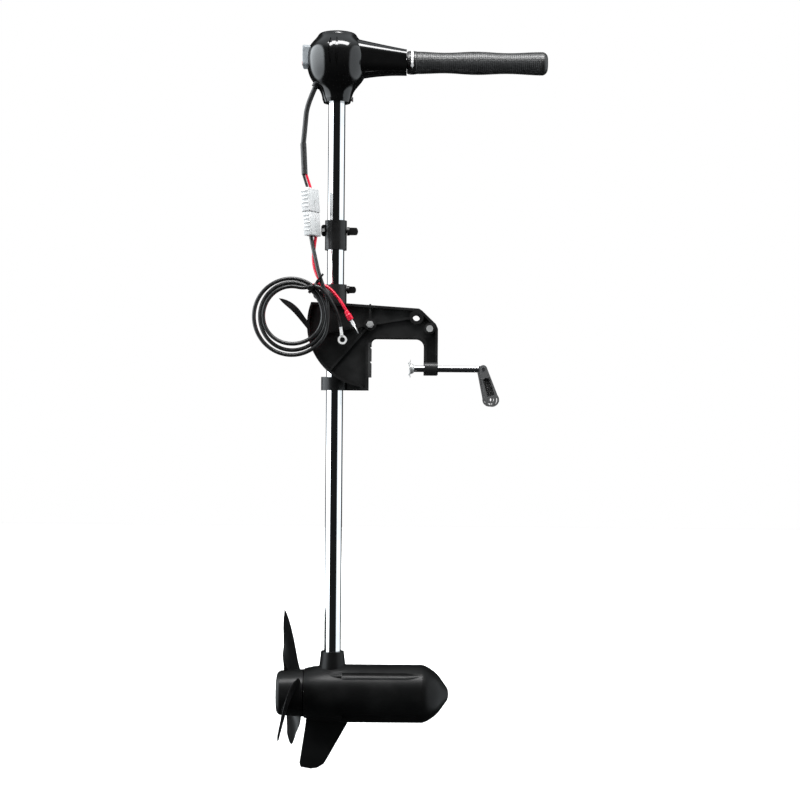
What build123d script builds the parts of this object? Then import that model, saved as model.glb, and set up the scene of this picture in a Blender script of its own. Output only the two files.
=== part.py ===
"""Transom-mounted electric trolling motor, in millimetres.

X runs from the propeller towards the boat, Z is up, Y is across the transom.
The origin lies on the face of the pad that bears on the transom, level with its top edge.
"""

from math import atan, cos, pi, radians, sin
import os

from build123d import *

# Transom bracket
pivot = (-1.8, 21.5)  # tilt pivot, X and Z
plate_in, plate_out, rim_out = 24.0, 31.0, 36.0  # side plate, distances from the mid-plane
arc_r, arc_rim = 102.8, 4.1
jaw, leg_out, leg_z = 87.0, 109.0, -49.5
pad_t, pad_low, pad_high = 4.6, -64.0, 6.0
back_t = 4.8
clamp_y = 38.0
line_hole = (73.8, 34.0)
arm_bolt = (95.5, 15.5)

# Tilt lock
lock_angle, lock_free, lock_in = 255.0, 87.5, 92.5
lock_r, notch_step, notch_count = 3.0, 15.0, 7
lever = (-86.0, 22.0)
lever_turn = 4.0

# Shaft, bushes and collars
shaft_x, shaft_r, shaft_wall = -60.0, 14.0, 1.5
shaft_low, shaft_high = -560.0, 430.0
fit = 0.05
bush_r = 16.0
tube_r, tube_low, tube_high = 18.5, 20.0, 88.3
ring_r, ring_low, ring_high = 22.4, -86.0, -64.0
collar_r, collar_low, collar_high = 18.0, 145.2, 193.7

# Head and tiller
seam_z, head_top, shell = 463.0, 503.5, 3.0
tiller_z, tiller_r = 455.5, 10.0
arm_end = 54.5
grip_start, grip_end = 56.5, 287.0
gauge_out, gauge_in, gauge_low, gauge_high = -116.8, -104.5, 446.0, 481.0

# Lower unit
pod_z, pod_r, pod_wall = -585.4, 47.5, 4.0
rear_x, seam_x, nose_x, ogive_x, tip_x = -106.0, -33.6, 53.5, 88.0, 131.7
hub_front, hub_back, prop_r, prop_pitch = -107.2, -151.4, 135.0, 120.0
motor_shaft_r = 5.0
flute_r, flute_out, flute_x, flute_end = 12.0, 56.9, -42.5, 84.0

# Clamp screws
screw_r, foot_x, foot_t, foot_r = 4.5, 60.7, 4.0, 15.5
crank_x, crank_hang = 182.8, 73.6

# Battery cable
gland = (-93.7, -8.0, 415.8)
gland_way = Vector(-0.476, -0.02, -0.878).normalized()
connector_top = Vector(-103.2, -25.0, 243.4)
connector_low = Vector(-97.2, -25.0, 165.8)
coil_at, coil_major, coil_minor = (-131.4, -46.0, 36.3), 58.5, 9.0

os.makedirs("parts", exist_ok=True)


def save(name, piece):
    """Label one finished piece and write it as its own file."""
    piece.part.label = name
    export_step(piece.part, f"parts/{name}.step")


def around(centre, radius, angle):
    """A point in the XZ plane, at an angle from +X towards +Z."""
    return (centre[0] + radius * cos(radians(angle)), centre[1] + radius * sin(radians(angle)))


def pin_across(centre, radius, half, mode=Mode.ADD):
    """A round pin along Y through a point of the XZ plane."""
    with BuildSketch(Plane.XZ) as disc:
        with Locations(centre):
            Circle(radius)
    extrude(disc.sketch, amount=half, both=True, mode=mode)


def ring_between(radius, bore, low, high, x=shaft_x):
    """A plain upright ring."""
    with BuildPart() as ring:
        with BuildSketch(Plane.XY.offset(low)):
            with Locations((x, 0)):
                Circle(radius)
                Circle(bore, mode=Mode.SUBTRACT)
        extrude(amount=high - low)
    return ring


def along_x(radius, start, end, z=pod_z, y=0.0, bore=0.0):
    """A round bar or tube along X."""
    with BuildPart() as bar:
        with BuildSketch(Plane.YZ.offset(start)):
            with Locations((y, z)):
                Circle(radius)
                if bore:
                    Circle(bore, mode=Mode.SUBTRACT)
        extrude(amount=end - start)
    return bar


# ---------------------------------------------------------------- bracket
with BuildPart() as side_near:
    left = around(pivot, arc_r, 159.5)
    low = around(pivot, arc_r, 261.0)
    with BuildSketch(Plane.XZ.offset(plate_in)) as plate:
        with BuildLine():
            ThreePointArc(left, around(pivot, arc_r, 210), low)
            Polyline(low, (-14, -85.8), (-pad_t, -85.8), (-pad_t, -8), (0, -8))
            RadiusArc((0, -8), (8, 0), 8)
            Line((8, 0), (74, 0))
            RadiusArc((74, 0), (jaw, -13), 13)
            Polyline((jaw, -13), (jaw, -60), (leg_out, -60), (leg_out, 15.3), (105.6, 23.1))
            Polyline((105.6, 23.1), (82.8, 45), (77.9, 48.2), (-40.9, 55.8), left)
        make_face()
    extrude(amount=plate_out - plate_in)
    with BuildSketch(Plane.XZ.offset(plate_out)):
        add(plate.sketch)
        offset(amount=-arc_rim, mode=Mode.SUBTRACT)
    extrude(amount=rim_out - plate_out)
    rib_ends = [around(pivot, r, a) for r, a in ((32, 90), (99, 191), (99, 229))] + [line_hole]
    for end in rib_ends:
        with BuildSketch(Plane.XZ.offset(plate_out)):
            with BuildLine() as rib:
                Line(pivot, end)
            SlotArc(rib.line.edges()[0], 3.4)
        extrude(amount=rim_out - plate_out - 1)
    with BuildSketch(Plane.XZ.offset(plate_in)):
        with Locations(pivot):
            Circle(10)
        with Locations(line_hole):
            Circle(11.5)
        with Locations(arm_bolt):
            Circle(9)
    extrude(amount=rim_out - plate_in)
    with BuildSketch(Plane.YZ.offset(jaw)):
        with Locations((-clamp_y, leg_z)):
            Circle(10.5)
        with Locations((-(clamp_y + plate_in) / 2, leg_z)):
            Rectangle(clamp_y - plate_in, 21)
    extrude(amount=leg_out - jaw)
    with BuildSketch(Plane.YZ.offset(jaw)):
        with Locations((-clamp_y, leg_z)):
            Circle(screw_r + fit)
    extrude(amount=leg_out - jaw, mode=Mode.SUBTRACT)
    with BuildSketch(Plane.XZ.offset(plate_in)):
        with BuildLine() as track:
            CenterArc(pivot, lock_free, lock_angle - 93, 96)
        SlotArc(track.line.edges()[0], 7)
        for notch in range(notch_count):
            angle = lock_angle - notch * notch_step
            with BuildLine() as way:
                Line(around(pivot, lock_free, angle), around(pivot, lock_in, angle))
            SlotArc(way.line.edges()[0], 7)
    extrude(amount=4.4, mode=Mode.SUBTRACT)
    with BuildSketch(Plane.XZ.offset(plate_in)):
        with Locations(pivot, arm_bolt):
            Circle(4)
        with Locations(line_hole):
            Circle(6)
    extrude(amount=rim_out - plate_in, mode=Mode.SUBTRACT)
save("bracket_side_near", side_near)

with BuildPart() as side_far:
    mirror(side_near.part, about=Plane.XZ)
save("bracket_side_far", side_far)

with BuildPart() as back_plate:
    with BuildSketch(Plane.YZ.offset(-pad_t - back_t)):
        with Locations((0, (pad_low + pad_high) / 2)):
            Rectangle(2 * plate_in, pad_high - pad_low)
    extrude(amount=back_t)
save("bracket_back_plate", back_plate)

with BuildPart() as pad:
    with BuildSketch(Plane.YZ.offset(-pad_t)):
        with Locations((0, (pad_low - 8) / 2)):
            Rectangle(2 * rim_out, -8 - pad_low)
        with Locations((0, (pad_high - 8) / 2)):
            Rectangle(2 * plate_in - 1, pad_high + 8)
    extrude(amount=pad_t)
    for groove in (-15.0, -39.0):
        with BuildSketch(Plane.YZ.offset(-2)):
            with Locations((0, groove)):
                Rectangle(2 * rim_out, 3.5)
        extrude(amount=2, mode=Mode.SUBTRACT)
save("transom_pad", pad)

with BuildPart() as pivot_bolt:
    pin_across(pivot, 4, rim_out + 6.5)
    for side in (-1, 1):
        with BuildSketch(Plane.XZ.offset(side * rim_out)):
            with Locations(pivot):
                RegularPolygon(6.3, 6)
        extrude(amount=side * 5)
save("pivot_bolt", pivot_bolt)

with BuildPart() as frame_bolt:
    pin_across(arm_bolt, 4, rim_out + 1)
    for side in (-1, 1):
        with BuildSketch(Plane.XZ.offset(side * rim_out)):
            with Locations(arm_bolt):
                Circle(5.5)
        extrude(amount=side * 3)
    with BuildSketch(Plane.XZ) as spacer:
        with Locations(arm_bolt):
            Circle(8)
            Circle(4.1, mode=Mode.SUBTRACT)
    extrude(amount=plate_in, both=True)
save("bracket_bolt_and_spacer", frame_bolt)

# ---------------------------------------------------------------- clamp screws
hang = (cos(radians(crank_hang)), -sin(radians(crank_hang)))
for side, name in ((-1, "near"), (1, "far")):
    y = side * clamp_y
    with BuildPart() as foot:
        with BuildSketch(Plane.YZ.offset(foot_x)):
            with Locations((y, leg_z)):
                Circle(foot_r)
        extrude(amount=foot_t)
        with BuildSketch(Plane.YZ.offset(foot_x + foot_t)):
            with Locations((y, leg_z)):
                Circle(8)
        extrude(amount=6.3, taper=14)
        with BuildSketch(Plane.YZ.offset(foot_x + 3)):
            with Locations((y, leg_z)):
                Circle(screw_r + fit)
        extrude(amount=10, mode=Mode.SUBTRACT)
    save(f"clamp_foot_{name}", foot)

    with BuildPart() as screw:
        with BuildSketch(Plane.YZ.offset(foot_x + 3.4)):
            with Locations((y, leg_z)):
                Circle(screw_r)
        extrude(amount=crank_x - 8 - foot_x - 3.4)
        with BuildSketch(Plane.XZ.offset(-y)):
            with BuildLine() as eye:
                Line((crank_x - 10, leg_z), (crank_x, leg_z))
            SlotArc(eye.line.edges()[0], 2 * screw_r)
        extrude(amount=2.5, both=True)
        with BuildSketch(Plane.XZ.offset(-y)):
            with Locations((crank_x, leg_z)):
                Circle(2.5 + fit)
        extrude(amount=5, both=True, mode=Mode.SUBTRACT)
        with BuildSketch(Plane.XZ.offset(-y)):
            with Locations((crank_x, leg_z)):
                Circle(2.5)
        extrude(amount=7, both=True)
    save(f"clamp_screw_{name}", screw)

    with BuildPart() as crank:
        boss = (crank_x + 52 * hang[0], leg_z + 52 * hang[1])
        with BuildSketch(Plane.XZ.offset(-y)):
            with BuildLine():
                across = (-hang[1], hang[0])
                start = [(crank_x + s * 6.3 * across[0], leg_z + s * 6.3 * across[1]) for s in (-1, 1)]
                end = [(boss[0] + s * 11 * across[0], boss[1] + s * 11 * across[1]) for s in (1, -1)]
                Polyline(start[0], start[1], end[0], end[1], start[0])
            make_face()
            with Locations((crank_x, leg_z)):
                Circle(6.3)
            with Locations(boss):
                Circle(11.5)
        extrude(amount=6, both=True)
        with BuildSketch(Plane.XZ.offset(-y)):
            with Locations((crank_x, leg_z)):
                Circle(9)
            with BuildLine() as clear:
                Line((crank_x - 12, leg_z), (crank_x, leg_z))
            SlotArc(clear.line.edges()[0], 2 * screw_r + 1.5)
        extrude(amount=2.8, both=True, mode=Mode.SUBTRACT)
        with BuildSketch(Plane.XZ.offset(-y)):
            with Locations((crank_x, leg_z)):
                Circle(2.5)
            with Locations(boss):
                Circle(3.6)
            for window_start in (-crank_hang + 12, -crank_hang - 84):
                with BuildLine() as window:
                    CenterArc(boss, 7.6, window_start, 72)
                SlotArc(window.line.edges()[0], 2.6)
        extrude(amount=8, both=True, mode=Mode.SUBTRACT)
        for face in (-1, 1):
            with BuildSketch(Plane.XZ.offset(-y + 6 * face)):
                for reach, half_width in ((19, 4), (39, 5.6)):
                    with Locations((crank_x + reach * hang[0], leg_z + reach * hang[1])):
                        Circle(half_width)
                make_hull()
            extrude(amount=-2.4 * face, mode=Mode.SUBTRACT)
    save(f"clamp_crank_{name}", crank)

# ---------------------------------------------------------------- swivel and tilt lock
lock_pin_at = around(pivot, lock_free, lock_angle)
with BuildPart() as swivel:
    with BuildSketch(Plane.XY.offset(tube_low)):
        with Locations((shaft_x, 0)):
            Circle(tube_r)
    extrude(amount=tube_high - tube_low)
    with BuildSketch(Plane.XY.offset(ring_low)):
        with Locations((shaft_x, 0)):
            Circle(ring_r)
        with Locations((-24, 0)):
            Rectangle(31.2, 28)
    extrude(amount=ring_high - ring_low - 6)
    with BuildSketch(Plane.XY.offset(ring_high - 6)):
        with Locations((shaft_x, 0)):
            Circle(ring_r)
    extrude(amount=6)
    with BuildSketch(Plane.XZ):
        with BuildLine():
            Polyline((-42, -86), (-18, -86), (-14, -60), (-14, 9.5), (-2, 33.5), (-42, 42), (-42, -86))
        make_face()
    extrude(amount=9, both=True)
    pin_across(pivot, 12, 23)
    with BuildSketch(Plane.XZ):
        with Locations((-84, 24.5)):
            Rectangle(19, 17)
        with Locations((-85, 71.5)):
            RectangleRounded(22, 13, 5)
    extrude(amount=8, both=True)
    with BuildSketch(Plane.XY.offset(ring_low)):
        with Locations((shaft_x, 0)):
            Circle(shaft_r + 0.6)
    extrude(amount=tube_high - ring_low, mode=Mode.SUBTRACT)
    for bush_low, bush_high in ((24, 62), (-84, -66)):
        with BuildSketch(Plane.XY.offset(bush_low)):
            with Locations((shaft_x, 0)):
                Circle(bush_r + fit)
        extrude(amount=bush_high - bush_low, mode=Mode.SUBTRACT)
    pin_across(pivot, 4 + fit, 23, mode=Mode.SUBTRACT)
    pin_across(lever, 3, 8, mode=Mode.SUBTRACT)
    pin_across((-90, 71.5), 3, 8, mode=Mode.SUBTRACT)
    with BuildSketch(Plane.XY.offset(62)):
        with Locations((-88, 0)):
            Rectangle(30, 2.4)
    extrude(amount=27, mode=Mode.SUBTRACT)
    with BuildSketch(Plane.YZ.offset(shaft_x)):
        with Locations((0, 80)):
            Circle(3 + fit)
    extrude(amount=30, mode=Mode.SUBTRACT)
    with BuildSketch(Plane.XZ):
        with BuildLine() as way:
            Line(lock_pin_at, around(pivot, lock_in, lock_angle))
        SlotArc(way.line.edges()[0], 2 * (lock_r + fit))
    extrude(amount=20, both=True, mode=Mode.SUBTRACT)
save("swivel_frame", swivel)

with BuildPart() as swivel_bolt:
    pin_across((-90, 71.5), 3, 10)
    for side in (-1, 1):
        with BuildSketch(Plane.XZ.offset(side * 8)):
            with Locations((-90, 71.5)):
                RegularPolygon(5.2, 6)
        extrude(amount=side * 4)
save("swivel_pinch_bolt", swivel_bolt)

save("upper_bush", ring_between(bush_r, shaft_r + fit, 24, 62))
save("lower_bush", ring_between(bush_r, shaft_r + fit, -84, -66))


def thumb_knob(z, face_x, reach, half):
    """A thumb screw along X: a thin shank into the collar and a flat paddle outside it."""
    with BuildPart() as knob:
        with BuildSketch(Plane.YZ.offset(shaft_x + shaft_r + 0.3)):
            with Locations((0, z)):
                Circle(3)
        extrude(amount=face_x - shaft_x - shaft_r + 1)
        with BuildSketch(Plane.YZ.offset(face_x + 0.4)):
            with Locations((0, z)):
                Circle(half)
        extrude(amount=4)
        with BuildSketch(Plane.XZ):
            with BuildLine():
                root, tip = (face_x + 3, half - 0.8), (face_x + reach - 2.6, half - 1)
                Line((root[0], z + root[1]), (tip[0], z + tip[1]))
                ThreePointArc((tip[0], z + tip[1]), (face_x + reach, z), (tip[0], z - tip[1]))
                Polyline((tip[0], z - tip[1]), (root[0], z - root[1]), (root[0], z + root[1]))
            make_face()
        extrude(amount=2.5, both=True)
    return knob


save("tension_knob", thumb_knob(80, shaft_x + tube_r, 15.5, 6.4))

with BuildPart() as lever_pin:
    pin_across(lever, 3, 22.6)
save("lever_pin", lever_pin)

with BuildPart() as lock_pin:
    pin_across(lock_pin_at, lock_r, 28)
save("lock_pin", lock_pin)

with BuildPart() as tilt_lever:
    engaged = around(pivot, lock_in, lock_angle)
    arm = (engaged[0] - lever[0], engaged[1] - lever[1])
    turn = radians(lever_turn)
    slot_end = (
        lever[0] + arm[0] * cos(turn) + arm[1] * sin(turn),
        lever[1] - arm[0] * sin(turn) + arm[1] * cos(turn),
    )
    with BuildSketch(Plane.XZ):
        with BuildLine():
            Spline((-152.6, 64.7), (-143.2, 63), (-123, 51), (-107.7, 31), (-97, 21))
            Polyline((-97, 21), (-97, 4))
            Spline((-97, 4), (-105, 14.2), (-116.2, 27.7), (-131.5, 44.6), (-150, 61.4), (-152.6, 64.7))
        make_face()
    extrude(amount=11, both=True)
    for side in (-1, 1):
        with BuildSketch(Plane.XZ.offset(side * 8.4)):
            with Locations(lever):
                Circle(7.5)
            with BuildLine():
                Polyline((-97, 21), (-86, 29), (-86, 15), (-97, 4), (-97, 21))
            make_face()
        extrude(amount=side * 13.6)
        with BuildSketch(Plane.XZ.offset(side * 19)):
            with Locations(lever, lock_pin_at, slot_end):
                Circle(7.5)
            make_hull()
        extrude(amount=side * 3)
    pin_across(lever, 3 + fit, 24, mode=Mode.SUBTRACT)
    with BuildSketch(Plane.XZ):
        with BuildLine() as way:
            Line(lock_pin_at, slot_end)
        SlotArc(way.line.edges()[0], 2 * lock_r + 0.6)
    extrude(amount=24, both=True, mode=Mode.SUBTRACT)
save("tilt_lever", tilt_lever)

# ---------------------------------------------------------------- shaft and depth collar
save("shaft_tube", ring_between(shaft_r, shaft_r - shaft_wall, shaft_low, shaft_high))

with BuildPart() as collar:
    with BuildSketch(Plane.XY.offset(collar_low)):
        with Locations((shaft_x, 0)):
            Circle(collar_r)
    extrude(amount=collar_high - collar_low)
    with BuildSketch(Plane.XZ):
        with Locations((-77, 177.5)):
            RectangleRounded(14, 18, 4)
    extrude(amount=7, both=True)
    with BuildSketch(Plane.XY.offset(collar_low)):
        with Locations((shaft_x, 0)):
            Circle(shaft_r + fit)
    extrude(amount=collar_high - collar_low, mode=Mode.SUBTRACT)
    with BuildSketch(Plane.XY.offset(collar_low)):
        with Locations((-80, 0)):
            Rectangle(16, 2.4)
    extrude(amount=collar_high - collar_low, mode=Mode.SUBTRACT)
    pin_across((-80.6, 177.5), 1.6, 8, mode=Mode.SUBTRACT)
    with BuildSketch(Plane.YZ.offset(shaft_x)):
        with Locations((0, 176.4)):
            Circle(3 + fit)
    extrude(amount=30, mode=Mode.SUBTRACT)
save("depth_collar", collar)

with BuildPart() as collar_bolt:
    pin_across((-80.6, 177.5), 1.6, 9)
    for side in (-1, 1):
        with BuildSketch(Plane.XZ.offset(side * 7)):
            with Locations((-80.6, 177.5)):
                RegularPolygon(3, 6)
        extrude(amount=side * 2.5)
save("depth_collar_bolt", collar_bolt)
save("depth_knob", thumb_knob(176.4, shaft_x + collar_r, 18.5, 7))


# ---------------------------------------------------------------- head
def head_body(inset):
    """The head's dome and tiller arm, shrunk by an inset; the cavity starts above the shaft."""
    with BuildPart() as body:
        with BuildSketch(Plane.XZ):
            with BuildLine():
                outline = Spline(
                    (shaft_x + 24.2 - inset, 394), (shaft_x + 28.4 - inset, 407.5),
                    (shaft_x + 42 - inset, 425.4), (shaft_x + 50.5 - inset, 455),
                    (shaft_x + 45.6 - inset, 481 - inset / 2), (shaft_x + 34 - inset, 495.4 - inset),
                    (shaft_x, head_top - inset),
                    tangents=((0.1, 1), (-1, 0)),
                )
                Polyline((shaft_x, head_top - inset), (shaft_x, 388), (shaft_x + 22 - inset, 388), outline @ 0)
            make_face()
        revolve(axis=Axis((shaft_x, 0, 0), (0, 0, 1)))
        with BuildSketch(Plane.YZ.offset(-42)):
            with Locations((0, 460.2)):
                RectangleRounded(74 - 2 * inset, 68 - 2 * inset, 24 - inset)
        with BuildSketch(Plane.YZ.offset(-5)):
            with Locations((0, 459.7)):
                RectangleRounded(56 - 2 * inset, 54.5 - 2 * inset, 19 - inset)
        with BuildSketch(Plane.YZ.offset(arm_end - 2 * inset)):
            with Locations((0, tiller_z)):
                RectangleRounded(42 - 2 * inset, 40 - 2 * inset, 13 - inset)
        loft()
    return body


with BuildPart() as cavity:
    add(head_body(shell).part)
    with BuildSketch(Plane.XY.offset(380)):
        with Locations((shaft_x, 0)):
            Circle(60)
    extrude(amount=shaft_high - 380, mode=Mode.SUBTRACT)
    with BuildSketch(Plane.XY.offset(400)):
        with Locations((shaft_x, 0)):
            with PolarLocations(39, 4, start_angle=50, angular_range=260, endpoint=True):
                Circle(4.5)
    extrude(amount=120, mode=Mode.SUBTRACT)

with BuildPart() as side_grooves:
    for groove_x, half_wide, groove_low, groove_high in ((-69.7, 3.4, 443, 489), (-59.4, 3.0, 441, 490)):
        with BuildSketch(Plane.XZ):
            with BuildLine():
                middle = (groove_low + groove_high) / 2
                ends = ((groove_x, groove_low), (groove_x, groove_high))
                ThreePointArc(ends[0], (groove_x - half_wide, middle), ends[1])
                ThreePointArc(ends[1], (groove_x + half_wide, middle), ends[0])
            make_face()
        extrude(amount=70, both=True)
    add(head_body(1.6).part, mode=Mode.SUBTRACT)

screw_spots = [around((shaft_x, 0), 39, 50 + 260 / 3 * turn_number) for turn_number in range(4)]


def head_shell(keep):
    """One half of the hollow head, either side of its seam, with its openings cut."""
    with BuildPart() as half:
        add(head_body(0).part)
        add(cavity.part, mode=Mode.SUBTRACT)
        add(side_grooves.part, mode=Mode.SUBTRACT)
        with BuildSketch(Plane.XY.offset(380)):
            with Locations((shaft_x, 0)):
                Circle(shaft_r)
        extrude(amount=shaft_high - 380, mode=Mode.SUBTRACT)
        with BuildSketch(Plane.YZ.offset(30)):
            with Locations((0, tiller_z)):
                Circle(tiller_r + fit)
        extrude(amount=40, mode=Mode.SUBTRACT)
        with BuildSketch(Plane.YZ.offset(gauge_out)):
            with Locations((0, (gauge_low + gauge_high) / 2)):
                RectangleRounded(34, gauge_high - gauge_low, 5)
        extrude(amount=gauge_in - gauge_out + 2.5, mode=Mode.SUBTRACT)
        with BuildSketch(Plane(origin=Vector(*gland) - 14 * gland_way, z_dir=gland_way)):
            Circle(6.5)
        extrude(amount=30, mode=Mode.SUBTRACT)
        with BuildSketch(Plane.XY.offset(seam_z - 20)):
            with Locations(*screw_spots):
                Circle(1.8)
        extrude(amount=32, mode=Mode.SUBTRACT)
        with BuildSketch(Plane.YZ.offset(shaft_x + shaft_r / 2)):
            with Locations((0, 394)):
                Circle(2.5)
        extrude(amount=30, mode=Mode.SUBTRACT)
        with BuildSketch(Plane.YZ.offset(shaft_x + 24.4)):
            with Locations((0, 394)):
                Circle(4.2)
        extrude(amount=20, mode=Mode.SUBTRACT)
        split(bisect_by=Plane.XY.offset(seam_z), keep=keep)
    return half


save("head_cover", head_shell(Keep.TOP))
save("head_housing", head_shell(Keep.BOTTOM))

with BuildPart() as head_screws:
    with BuildSketch(Plane.XY.offset(seam_z - 18)):
        with Locations(*screw_spots):
            Circle(1.8)
    extrude(amount=29)
    with BuildSketch(Plane.YZ.offset(shaft_x + shaft_r)):
        with Locations((0, 394)):
            Circle(2.5)
    extrude(amount=11)
    with BuildSketch(Plane.YZ.offset(shaft_x + 24.4)):
        with Locations((0, 394)):
            Circle(4)
    extrude(amount=2.2)
save("head_screws", head_screws)

with BuildPart() as gauge:
    with BuildSketch(Plane.YZ.offset(gauge_out)):
        with Locations((0, (gauge_low + gauge_high) / 2)):
            RectangleRounded(34, gauge_high - gauge_low, 5)
    extrude(amount=gauge_in - gauge_out)
    fillet(gauge.faces().sort_by(Axis.X)[0].edges(), 1.5)
    with BuildSketch(Plane.YZ.offset(gauge_out)):
        with Locations((0, 469)):
            Rectangle(22, 14)
    extrude(amount=2, mode=Mode.SUBTRACT)
    with BuildSketch(Plane.YZ.offset(gauge_out)):
        with Locations((0, 453)):
            Circle(3.6)
    extrude(amount=9, mode=Mode.SUBTRACT)
save("gauge_housing", gauge)

with BuildPart() as lens:
    with BuildSketch(Plane.YZ.offset(gauge_out + 0.5)):
        with Locations((0, 469)):
            Rectangle(22, 14)
    extrude(amount=1.5)
save("gauge_lens", lens)
save("test_button", along_x(3.5, gauge_out - 1.2, gauge_out + 6, z=453))

with BuildPart() as board:
    with BuildSketch(Plane.YZ.offset(gauge_in)):
        with Locations((0, 464)):
            Rectangle(24, 26)
    extrude(amount=1.6)
    with BuildSketch(Plane.YZ.offset(gauge_in + 1.6)):
        with Locations((-8, 470), (8, 470), (0, 455)):
            Rectangle(8, 6)
    extrude(amount=3)
save("gauge_board", board)

with BuildPart() as switch:
    with BuildSketch(Plane.YZ.offset(-96)):
        with Locations((0, tiller_z)):
            RectangleRounded(30, 24, 3)
    extrude(amount=20)
save("speed_switch", switch)

with BuildPart() as gland_body:
    with BuildSketch(Plane(origin=Vector(*gland) - 8 * gland_way, z_dir=gland_way)):
        Circle(6.5)
    extrude(amount=12)
save("cable_gland", gland_body)

# ---------------------------------------------------------------- tiller
save("tiller_tube", along_x(tiller_r, -72, grip_end - 22, z=tiller_z, bore=tiller_r - 2))

groove_start, groove_end, groove_r = 60.0, 67.0, 17.6
with BuildPart() as grip:
    with BuildSketch(Plane.XZ):
        with BuildLine():
            swell = Spline(
                (72, tiller_z + 18.6), (117, tiller_z + 17), (170, tiller_z + 19.1),
                (221, tiller_z + 17.2), (grip_end - 6, tiller_z + 19.2),
            )
            Spline(
                swell @ 1, (grip_end - 1.6, tiller_z + 12), (grip_end, tiller_z),
                tangents=((1, -0.4), (0, -1)),
            )
            Polyline(
                (grip_end, tiller_z), (grip_end - 20, tiller_z), (grip_end - 20, tiller_z + tiller_r + fit),
                (grip_start, tiller_z + tiller_r + fit), (grip_start, tiller_z + 19),
                (groove_start, tiller_z + 19), (groove_start, tiller_z + groove_r),
                (groove_end, tiller_z + groove_r), (groove_end, tiller_z + 18.7), swell @ 0,
            )
        make_face()
    revolve(axis=Axis((0, 0, tiller_z), (1, 0, 0)))
save("grip_sleeve", grip)
save("speed_ring", along_x(19.2, groove_start, groove_end, z=tiller_z, bore=groove_r))

# ---------------------------------------------------------------- lower unit
inner_r = pod_r - pod_wall
through_spots = [(0, pod_z + 41), (0, pod_z - 41)]
pod_axis = Axis((0, 0, pod_z), (1, 0, 0))
with BuildPart() as flute:
    with BuildSketch(Plane.XZ):
        with BuildLine():
            Polyline(
                (flute_x, pod_z + flute_out), (flute_x, pod_z + flute_out - flute_r),
                (flute_end - 22, pod_z + flute_out - flute_r), (flute_end, pod_z + pod_r),
                (flute_end, pod_z + flute_out), (flute_x, pod_z + flute_out),
            )
        make_face()
    revolve(axis=Axis((0, 0, pod_z + flute_out), (1, 0, 0)))


def cut_flutes():
    """Cut the four long grooves that run along the outside of the lower unit."""
    for turn_angle in (45, 135, 225, 315):
        add(flute.part.rotate(pod_axis, turn_angle), mode=Mode.SUBTRACT)


with BuildPart() as rear_housing:
    with BuildSketch(Plane.XZ):
        with BuildLine():
            Line((seam_x, pod_z), (seam_x, pod_z + pod_r))
            Line((seam_x, pod_z + pod_r), (-50, pod_z + pod_r))
            TangentArc((-50, pod_z + pod_r), (rear_x, pod_z + 40.4), tangent=(-1, 0))
            Polyline((rear_x, pod_z + 40.4), (rear_x, pod_z), (seam_x, pod_z))
        make_face()
    revolve(axis=Axis((0, 0, pod_z), (1, 0, 0)))
    with BuildSketch(Plane.XY.offset(-516)):
        with Locations((shaft_x, 0)):
            Circle(19)
    extrude(amount=-45, taper=-7)
    with BuildSketch(Plane.XZ):
        with BuildLine():
            Polyline(
                (-102, pod_z - 35), (-104, -640), (-113, -700), (-111, -707), (-94, -710),
                (-84, -708.5), (-73, -702), (-68, -694), (-34.2, -634), (-36, pod_z - 35), (-102, pod_z - 35),
            )
        make_face()
    extrude(amount=3.2, both=True)
    with BuildPart(mode=Mode.PRIVATE) as fin:
        for fin_x, out, fin_r in ((-100, 41, 0.6), (flute_x - 1, 43.5, 6.4)):
            with BuildSketch(Plane.YZ.offset(fin_x)):
                with Locations((0, pod_z + out)):
                    Circle(fin_r)
        loft()
    for turn_angle in (45, 135, 225, 315):
        add(fin.part.rotate(pod_axis, turn_angle))
    cut_flutes()
    with BuildSketch(Plane.YZ.offset(seam_x - 30)):
        with Locations((0, pod_z)):
            Circle(inner_r - 4)
    extrude(amount=30, mode=Mode.SUBTRACT)
    with BuildSketch(Plane.XY.offset(shaft_low)):
        with Locations((shaft_x, 0)):
            Circle(shaft_r)
    extrude(amount=60, mode=Mode.SUBTRACT)
    with BuildSketch(Plane.YZ.offset(rear_x)):
        with Locations((0, pod_z)):
            Circle(12)
    extrude(amount=80, mode=Mode.SUBTRACT)
    with BuildSketch(Plane.YZ.offset(seam_x - 8)):
        with Locations(*through_spots):
            Circle(2)
    extrude(amount=nose_x - seam_x + 16, mode=Mode.SUBTRACT)
save("rear_housing", rear_housing)

with BuildPart() as can:
    add(along_x(pod_r, seam_x, nose_x, bore=inner_r).part)
    cut_flutes()
save("motor_can", can)

with BuildPart() as nose:
    with BuildSketch(Plane.XZ):
        with BuildLine():
            Polyline((nose_x, pod_z), (nose_x, pod_z + pod_r), (ogive_x, pod_z + pod_r))
            Spline(
                (ogive_x, pod_z + pod_r), (101.5, pod_z + 41.6), (115, pod_z + 30.4),
                (126.6, pod_z + 14.8), (tip_x, pod_z),
                tangents=((1, -0.22), (0, -1)),
            )
            Line((tip_x, pod_z), (nose_x, pod_z))
        make_face()
    revolve(axis=pod_axis)
    cut_flutes()
    with BuildSketch(Plane.YZ.offset(nose_x)):
        with Locations((0, pod_z)):
            Circle(inner_r - 4)
    extrude(amount=30, mode=Mode.SUBTRACT)
    with BuildSketch(Plane.YZ.offset(nose_x + 30)):
        with Locations((0, pod_z)):
            Circle(11)
    extrude(amount=9, mode=Mode.SUBTRACT)
    with BuildSketch(Plane.YZ.offset(seam_x - 8)):
        with Locations(*through_spots):
            Circle(2)
    extrude(amount=nose_x - seam_x + 16, mode=Mode.SUBTRACT)
save("nose_cone", nose)

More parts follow.
